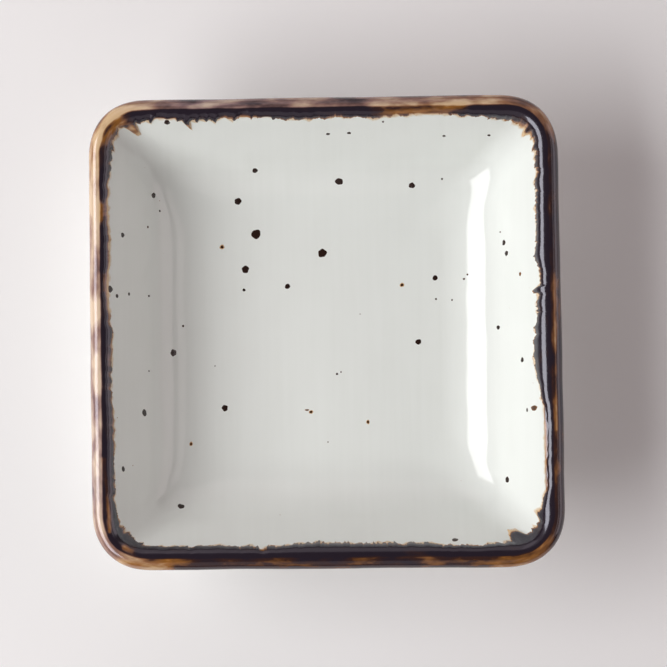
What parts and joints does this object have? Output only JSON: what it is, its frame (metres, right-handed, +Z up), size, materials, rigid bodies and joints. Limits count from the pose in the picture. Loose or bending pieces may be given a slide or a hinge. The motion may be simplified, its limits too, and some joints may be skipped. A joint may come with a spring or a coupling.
{
  "type": "square dish",
  "caption": "Small square stoneware dish with a flat-floored well, sloping walls, a rolled lip in iron-brown glaze over speckled white, and a bare foot ring.",
  "frame": {"origin": "middle of the foot, on the surface that the dish stands on", "axes": "+Z up out of the well, X and Y along the sides of the square"},
  "size_m": [0.1, 0.1, 0.0265],
  "materials": {
    "stoneware": "matte",
    "white_glaze": "gloss",
    "iron_glaze": "gloss",
    "iron_spot": "gloss"
  },
  "bodies": {
    "root": {"clay_body": "stoneware", "foot_ring": "stoneware", "inside_glaze": "white_glaze", "outside_glaze": "white_glaze", "base_glaze": "white_glaze", "rim_glaze": "iron_glaze", "iron_spot_01": "iron_spot", "iron_spot_02": "iron_spot", "iron_spot_03": "iron_spot", "iron_spot_04": "iron_spot", "iron_spot_05": "iron_spot", "iron_spot_06": "iron_spot", "iron_spot_07": "iron_spot", "iron_spot_08": "iron_spot", "iron_spot_09": "iron_spot", "iron_spot_10": "iron_spot", "iron_spot_11": "iron_spot", "iron_spot_12": "iron_spot", "iron_spot_13": "iron_spot", "iron_spot_14": "iron_spot", "iron_spot_15": "iron_spot", "iron_spot_16": "iron_spot", "iron_spot_17": "iron_spot", "iron_spot_18": "iron_spot", "iron_spot_19": "iron_spot", "iron_spot_20": "iron_spot"}
  },
  "joints": []
}
